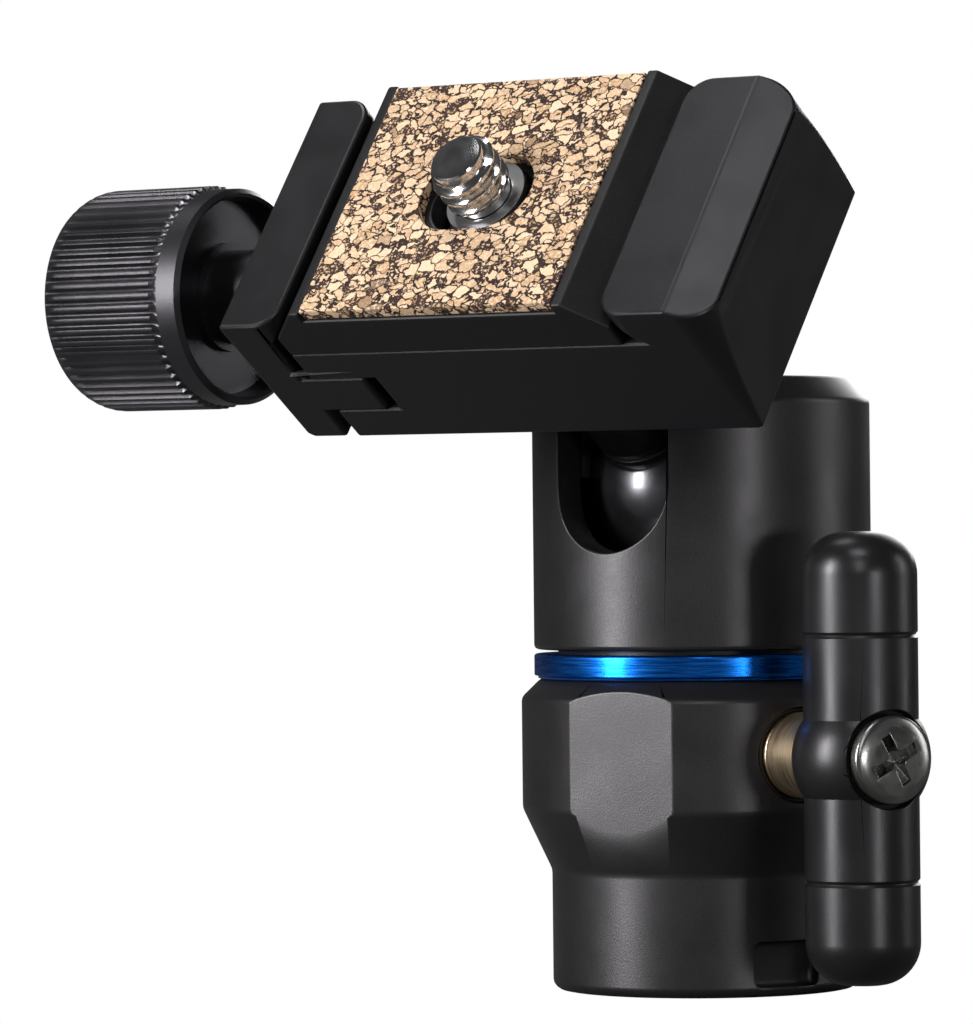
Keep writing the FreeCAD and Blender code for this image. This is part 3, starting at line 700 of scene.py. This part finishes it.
plate = {
    "half": 12.9, "low": 37.6, "side": 17.9, "step": 40.05, "rimOut": 14.6, "rimIn": 13.6, "top": 43.35,
    "padSink": 1.1, "slotLeft": -1.4, "slotRight": 2.4, "slotHalf": 3.35, "headHalf": 5.8, "headTop": 39.8,
    "toolLow": 30, "toolHigh": 50, "bevel": 0.2,
}

pad = {"halfWide": 13.58, "halfLong": 12.6, "thick": 1.2, "slotHalf": 4.05, "bevel": 0.18}


def slotBlock(halfWidth, z0, z1):
    # The long hole for the camera screw, with round ends.
    left, right = plate["slotLeft"], plate["slotRight"]
    tool = block(left, right, -halfWidth, halfWidth, z0, z1)
    for x in (left, right):
        carved(tool, moved(rod(halfWidth, z0, z1), Matrix.Translation((x, 0, 0))), operation="UNION")
    return tool


def makePlate():
    s = plate
    floor = s["top"] - s["padSink"]
    outline = [(-s["side"], s["low"]), (s["side"], s["low"]), (s["side"], s["step"]), (s["rimOut"], s["top"]),
               (s["rimIn"], s["top"]), (s["rimIn"], floor), (-s["rimIn"], floor), (-s["rimIn"], s["top"]),
               (-s["rimOut"], s["top"]), (-s["side"], s["step"])]
    body = prism("quickPlate", outline, s["half"])
    carved(body, slotBlock(s["slotHalf"], s["toolLow"], s["toolHigh"]))
    carved(body, slotBlock(s["headHalf"], s["toolLow"], s["headTop"]))
    bevelled(body, s["bevel"], 2, 30, flat=True)
    done(body, "quickPlate", onPlatform(), "plate", "plate", "quick_plate", 13)


def makePad():
    s = pad
    floor = plate["top"] - plate["padSink"]
    piece = block(-s["halfWide"], s["halfWide"], -s["halfLong"], s["halfLong"], floor, floor + s["thick"])
    bevelled(piece, s["bevel"], 2, 30)
    carved(piece, slotBlock(s["slotHalf"], plate["toolLow"], plate["toolHigh"]))
    done(piece, "corkPad", onPlatform(), "cork", "plate", "cork_pad", 32)


makePlate()
makePad()

cameraScrew = {
    "x": 1.2, "crest": 3.175, "core": 2.55, "pitch": 1.27, "low": 43.5, "tip": 48.35, "tipGap": 0.65,
    "rowsPerTurn": 14, "fade": 0.35,
    "tipRings": ((2.5, 0.25), (2.35, 0.1), (1.7, 0.03), (0.8, 0)),  # radius, and how far under the tip
    "headRings": [(2.6, 39.8), (5.4, 39.8), (5.6, 39.6), (5.6, 38.1), (5.4, 37.9)],
    "coinSlot": (-7, 7, -0.7, 0.7, 37, 38.9),
}


def makeCameraScrew():
    s = cameraScrew
    steps = thread["steps"]
    points, rows = threadRows(
        s["low"], s["tip"] - s["tipGap"], s["core"], s["crest"], s["pitch"], s["rowsPerTurn"], s["fade"])
    faces = gridFaces(rows, steps)
    last = addRings(points, faces, rows * steps, [(r, s["tip"] - under) for r, under in s["tipRings"]], steps)
    faces.append(capFace(last, steps))
    last = addRings(points, faces, 0, s["headRings"], steps)
    faces.append(capFace(last, steps))
    piece = outwards(meshObject("cameraBolt", points, [], faces))
    carved(piece, block(*s["coinSlot"]))
    spot = Matrix.Translation((s["x"], 0, 0))
    done(piece, "cameraBolt", onPlatform() @ spot, "steel", "camera_bolt", "camera_screw", 30)


makeCameraScrew()

lever = {
    "x": 26.1, "z": 21.8, "radius": 5.1, "half": 20.0, "endR": 3.8, "endSteps": 14, "steps": 96,
    "groove": 10.9,
    # radius, height from it
    "grooveShape": ((5.1, 0.28), (5.02, 0.18), (4.85, 0), (5.02, -0.18), (5.1, -0.28)),
    "bead": 6.15, "beadSteps": 48,
    "holes": ((4.35, 10, 21.3), (3.05, 20, 25.7), (2.05, 20, 40), (4.4, 29.6, 40)), "bevel": 0.1,
}


def makeLever():
    s = lever
    flat = s["radius"] - s["endR"]
    upper = [(0, s["half"])]
    upper += [(flat + s["endR"] * math.sin(a), s["endR"] * math.cos(a) + s["half"] - s["endR"])
              for a in [math.pi / 2 * i / s["endSteps"] for i in range(s["endSteps"] + 1)]]
    upper += [(r, s["groove"] + dz) for r, dz in s["grooveShape"]]
    bar = lathe("lockLever", upper + [(r, -z) for r, z in reversed(upper)], s["steps"])
    count = s["beadSteps"]
    bead = [(s["bead"] * math.sin(math.pi * i / count) if 0 < i < count else 0,
             s["bead"] * math.cos(math.pi * i / count)) for i in range(count + 1)]
    carved(bar, lathe("tool", bead, s["steps"]), operation="UNION")
    moved(bar, Matrix.Translation((s["x"], 0, s["z"])))
    bored(bar, s["z"], *s["holes"])
    bevelled(bar, s["bevel"], 2, 50)
    done(bar, "lockLever", upright(), "lever", "lever", "lever_bar", 34)


makeLever()

leverScrew = {
    "x": 29.6, "z": 21.8, "steps": 96, "turn": 28, "armHalf": 0.5, "hubSteps": 32, "bevel": 0.05,
    # From the end of the shank to the middle of the domed head.
    "outline": [(0, -10.5), (1.7, -10.5), (2.0, -10.2), (2.0, 0), (3.85, 0), (3.95, 0.12), (3.95, 1.5),
                (3.85, 1.68), (3.55, 1.84), (2.9, 2.0), (2.0, 2.12), (1.0, 2.18), (0, 2.2)],
    "arm": [(-2.5, 3), (-2.3, 1.75), (-0.6, 0.6), (0.6, 0.6), (2.3, 1.75), (2.5, 3)],
    "hub": [(0, 0.5), (0.75, 0.75), (1.0, 3.0), (0, 3.0)],
}


def makeLeverScrew():
    s = leverScrew
    piece = lathe("leverScrew", s["outline"], s["steps"])
    for turn in (0, 90):
        arm = prism("tool", s["arm"], s["armHalf"])
        carved(piece, moved(arm, Matrix.Rotation(math.radians(turn + s["turn"]), 4, "Z")))
    carved(piece, lathe("tool", s["hub"], s["hubSteps"]))
    bevelled(piece, s["bevel"], 2, 40)
    done(piece, "leverScrew", upright() @ alongX(s["x"], s["z"]), "nickel", "lever", "lever_screw",
        34)


makeLeverScrew()

shaft = {
    "z": 21.8, "steps": 96,
    # From the tip of the nose's cone, past the thread's start and the seal's groove, to the hole for the
    # screw.
    "outline": [(0, -0.5), (2.5, 2.0), (2.5, 8.6), (2.7, 8.8), (3.85, 8.8), (3.85, 16.3), (3.8, 16.4),
                (3.85, 16.5),
                (3.85, 21.15), (3.7, 21.3), (3.0, 21.3), (3.0, 25.5), (2.05, 25.5), (2.05, 18.6), (0, 18.6)],
}


def makeShaft():
    s = shaft
    piece = lathe("lockShaft", s["outline"], s["steps"])
    done(piece, "lockShaft", upright() @ alongX(0, s["z"]), "brass", "lever", "lock_screw", 34)


makeShaft()

keptNodes = {
    "friction_disc": "polymer", "thrust_washer": "polymer", "pan_spindle": "plain", "upper_seat": "polymer",
    "lower_seat": "polymer", "disc_springs": "plain", "stem_screw": "nickel", "thread_insert": "brass",
    "jaw_washer": "steel", "clamp_screw": "steel", "screw_clip": "plain", "shaft_seal": "rubber",
    "lock_plunger": "brass",
}
for node, surface in keptNodes.items():
    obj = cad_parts[node]
    obj.data.materials.clear()
    obj.data.materials.append(surfaces[surface])
print("kept nodes dressed")

studio = {
    "centre": (0.0, 0.0, 0.045), "towardsCamera": (0.866, -0.5, 0.0), "right": (0.5, 0.866, 0.0),
    "roomTint": (0.95, 0.97, 1, 1), "roomStrength": 0.06, "floorGrey": 0.14, "floorHalf": 3,
    "floorZ": -0.0004,
}
centre = Vector(studio["centre"])
viewDir = Vector(studio["towardsCamera"])
rightDir = Vector(studio["right"])

softboxes = [
    # name, right, towards the camera, up, width, height, power, all in metres and watts
    ("leftStrip", -0.80, 0.38, 0.05, 0.17, 0.80, 13.0),
    ("rightStrip", 0.78, -0.05, 0.05, 0.12, 0.80, 1.8),
    ("backFill", 0.30, -0.95, 0.35, 0.50, 0.50, 4.0),
    ("rightFront", 0.42, 0.75, -0.01, 0.14, 0.07, 0.9),
    ("topPanel", -0.27, -0.12, 0.82, 0.34, 0.22, 2.4),
    ("crownPanel", -0.04, 0.50, 0.88, 0.30, 0.20, 1.3),
    ("frontFill", -0.05, 0.95, 0.42, 0.16, 0.50, 1.2),
]


def aim(obj, position, target):
    obj.location = position
    obj.rotation_euler = (Vector(target) - Vector(position)).to_track_quat("-Z", "Y").to_euler()
    bpy.context.scene.collection.objects.link(obj)


for name, right, near, up, width, height, power in softboxes:
    light = bpy.data.lights.new(name, "AREA")
    light.shape = "RECTANGLE"
    light.size, light.size_y, light.energy = width, height, power
    aim(bpy.data.objects.new(name, light), centre + rightDir * right + viewDir * near + Vector((0, 0, up)),
        centre)
print("lights set")


def makeWorld():
    # White where the camera looks straight at it, and a faint even light elsewhere.
    world = bpy.data.worlds.new("studio")
    bpy.context.scene.world = world
    world.use_nodes = True
    tree = world.node_tree
    tree.nodes.clear()
    seen = addNode(tree, "ShaderNodeLightPath", "Is Camera Ray")
    white = addNode(tree, "ShaderNodeBackground", 0, {0: (1, 1, 1, 1)})
    room = addNode(tree, "ShaderNodeBackground", 0, {0: studio["roomTint"], 1: studio["roomStrength"]})
    mix = addNode(tree, "ShaderNodeMixShader", 0, {0: seen, 1: room, 2: white})
    addNode(tree, "ShaderNodeOutputWorld", inputs={0: mix})


def makeFloor():
    # White where the camera looks straight at it, without a shadow, and grey in reflections and bounced
    # light.
    half, z, grey = studio["floorHalf"], studio["floorZ"], studio["floorGrey"]
    floor = meshObject("paleFloor", [(-half, -half, z), (half, -half, z), (half, half, z), (-half, half,
                       z)], [],
                       [(0, 1, 2, 3)])
    material = bpy.data.materials.new("paleFloor")
    material.use_nodes = True
    tree = material.node_tree
    tree.nodes.clear()
    seen = addNode(tree, "ShaderNodeLightPath", "Is Camera Ray")
    white = addNode(tree, "ShaderNodeEmission")
    pale = addNode(tree, "ShaderNodeBsdfDiffuse", 0, {0: (grey, grey, grey, 1)})
    mix = addNode(tree, "ShaderNodeMixShader", 0, {0: seen, 1: pale, 2: white})
    addNode(tree, "ShaderNodeOutputMaterial", inputs={0: mix})
    floor.data.materials.append(material)


makeWorld()
makeFloor()
print("world and floor set")

photoView = {
    "sensor": 36.0, "lens": 212.2, "near": 0.01, "far": 20.0, "place": (0.4704, -0.2944, 0.04385),
        "roll": -0.61,
}


def makeCamera():
    s = photoView
    data = bpy.data.cameras.new("photoView")
    data.sensor_width, data.lens = s["sensor"], s["lens"]
    data.clip_start, data.clip_end = s["near"], s["far"]
    camera = bpy.data.objects.new("photoView", data)
    bpy.context.scene.collection.objects.link(camera)
    level = Matrix((rightDir.normalized(), Vector((0, 0, 1)), viewDir.normalized())).transposed().to_4x4()
    roll = Matrix.Rotation(math.radians(s["roll"]), 4, "Z")
    camera.matrix_world = Matrix.Translation(s["place"]) @ level @ roll
    bpy.context.scene.camera = camera


makeCamera()
bpy.context.scene.view_settings.view_transform = "Standard"
print("camera set")
